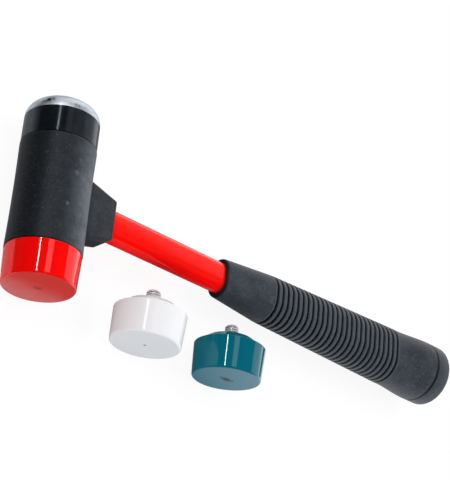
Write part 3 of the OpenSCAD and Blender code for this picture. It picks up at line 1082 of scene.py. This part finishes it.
def plainMetal(name):
    material, place = startMaterial(name)
    look = insideValues[name]
    grain = place.noise(1.4, 4, 0.6)
    stain = place.noise(4, 3, 0.6).ramp(0.5, 0.75, 0.4)
    return endMaterial(material, place, {
        "Base Color": (grain * 0.6 + stain).mixColour(look["bright"], look["dull"]),
        "Metallic": 1.0,
        "Roughness": look["roughness"] + grain * 0.15,
        "Normal": grain.bump(0.15, 0.03),
    })


def plainWood(name):
    material, place = startMaterial(name)
    look = insideValues[name]
    grain = place.stretched((0.1, 1, 1)).noise(0.9, 4, 0.6)
    return endMaterial(material, place, {
        "Base Color": grain.mixColour(look["pale"], look["dark"]),
        "Roughness": look["roughness"] + grain * 0.15,
        "Normal": grain.bump(0.3, 0.1),
    })


def paintInside():
    finishes = {
        "head_core": plainMetal("castCore"),
        "handle_pin": plainMetal("springSteel"),
        "tube_plug": plainWood("plugWood"),
    }
    for node, material in finishes.items():
        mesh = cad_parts[node].data
        mesh.materials.clear()
        mesh.materials.append(material)


paintInside()
print("stage: the inner pieces are painted")


# pairs without a note of their own are along x, in mm as on the pieces, and brightness 1 is white
studio = {
    "floorHalf": 3.0,               # metres
    "floorWhite": 0.78,
    "cameraWhite": 0.90,            # what the camera sees of the floor without any light
    "cameraMatt": 0.12,             # matt share, which takes the object's shadow
    "tableEdge": (-58.0, -46.0),    # what lies further left is dark
    "darkFrom": (-20.0, -4.0),      # between these two the table is dark in reflections only
    "darkTo": (142.0, 112.0),
    "darkShare": 0.85,
    "card": (127.0, 247.0),         # the white card on the right, which only reflections show
    "cardGlow": 0.9,
    "backdrop": 1.05,               # brightness of the white wall behind the object
    "backdropFoot": 1.0,            # and how much brighter it is near the horizon
    "backdropWay": (0.80, 0.60, 0.0),
    "backdropSide": (0.18, 0.36),   # cosine of the angle from its way at which it fades in
    "backdropTop": (0.72, 0.69),    # sine of the height at which it fades in
    "footTop": (0.30, 0.05),        # and of the height at which its foot does
    "room": 0.04,                   # brightness of the rest of the room in reflections
    "roomGlow": 0.18,               # and what it adds as soft light
}


def lightPaths(wire):
    outputs = wire.node("ShaderNodeLightPath").socket.node.outputs
    return {socket.name: Wire(socket) for socket in outputs}


def grey(level):
    return (level, level, level)


def makeFloor():
    look, half = studio, studio["floorHalf"]
    mesh = bpy.data.meshes.new("floor")
    corners = [(-half, -half, 0), (half, -half, 0), (half, half, 0), (-half, half, 0)]
    mesh.from_pydata(corners, [], [(0, 1, 2, 3)])
    addObject("floor", mesh)
    material, place = startMaterial("floorCard")
    seen = lightPaths(place)
    mirrored = seen["Is Glossy Ray"]
    x = place.parts()[0]
    dark = x.ramp(*look["darkFrom"]) * x.ramp(*look["darkTo"]) * mirrored * look["darkShare"]
    onTable = x.ramp(*look["tableEdge"]) * (1 - dark)
    white = onTable.mixColour(grey(look["room"]), grey(look["floorWhite"]))
    card = x.ramp(*look["card"]) * mirrored * look["cardGlow"]
    matt = place.node("ShaderNodeBsdfPrincipled", None, {
        "Base Color": white, "Roughness": 0.35, "Specular IOR Level": 0.3,
        "Emission Color": card.mixColour(grey(0), grey(1)), "Emission Strength": 1.0})
    shadow = place.node("ShaderNodeBsdfDiffuse", None, {"Color": grey(look["cameraMatt"])})
    glow = place.node("ShaderNodeEmission", None, {"Color": grey(1), "Strength": look["cameraWhite"]})
    paper = place.node("ShaderNodeAddShader", None, {0: shadow, 1: glow})
    straight = seen["Is Camera Ray"].math("MAXIMUM", seen["Is Transmission Ray"])
    both = place.node("ShaderNodeMixShader", None, {0: straight, 1: matt, 2: paper})
    both.node("ShaderNodeOutputMaterial", None, {"Surface": both})
    mesh.materials.append(material)


def makeRoom():
    look = studio
    world = bpy.data.worlds.new("room")
    bpy.context.scene.world = world
    world.use_nodes = True
    world.node_tree.nodes.clear()
    way = Wire(world.node_tree.nodes.new("ShaderNodeTexCoord").outputs["Generated"])
    seen = lightPaths(way)
    z = way.parts()[2]
    wall = z.ramp(*look["backdropTop"]) * way.along(look["backdropWay"]).ramp(*look["backdropSide"])
    rest = seen["Is Diffuse Ray"] * look["roomGlow"] + look["room"]
    level = wall * (z.ramp(*look["footTop"]) * look["backdropFoot"] + look["backdrop"] - rest) + rest
    strength = seen["Is Camera Ray"] * (1 - level) + level      # the camera itself sees plain white
    background = way.node("ShaderNodeBackground", None, {"Color": grey(1), "Strength": strength})
    background.node("ShaderNodeOutputWorld", None, {"Surface": background})


# each lamp: where it hangs, where it points, its size in metres and its brightness, 1 being white
lamps = {
    "stripLeft": {"at": (-0.90, 0.35, 0.76), "to": (-0.08, -0.02, 0.03), "size": (0.05, 1.1),
                  "level": 34.0, "inGloss": True},
    "softTop": {"at": (-0.45, 0.45, 1.20), "to": (0.0, 0.0, 0.02), "size": (0.35, 0.9),
                "level": 1.5, "inGloss": True},
    "fillTop": {"at": (0.75, 0.10, 1.35), "to": (0.0, 0.0, 0.0), "size": (1.3, 1.3),
                "level": 1.7, "inGloss": False},
    "fillFront": {"at": (-0.35, -1.35, 0.45), "to": (0.0, 0.0, 0.0), "size": (1.2, 0.9),
                  "level": 2.9, "inGloss": False},
}


def makeLamps():
    for name, lamp in lamps.items():
        data = bpy.data.lights.new(name, "AREA")
        data.shape = "RECTANGLE"
        data.size, data.size_y = lamp["size"]
        data.energy = lamp["level"] * math.pi * data.size * data.size_y
        item = addObject(name, data)
        place = Vector(lamp["at"])
        away = (place - Vector(lamp["to"])).normalized()
        across = Vector((0, 1, 0)).cross(away).normalized()     # size_y runs along the head
        turned = Matrix((across, away.cross(across), away)).transposed()
        item.matrix_world = Matrix.Translation(place) @ turned.to_4x4()
        item.visible_glossy = lamp["inGloss"]
        item.visible_camera = False


makeFloor()
makeRoom()
makeLamps()
bpy.context.scene.view_settings.view_transform = "Standard"
print("stage: the studio is lit")
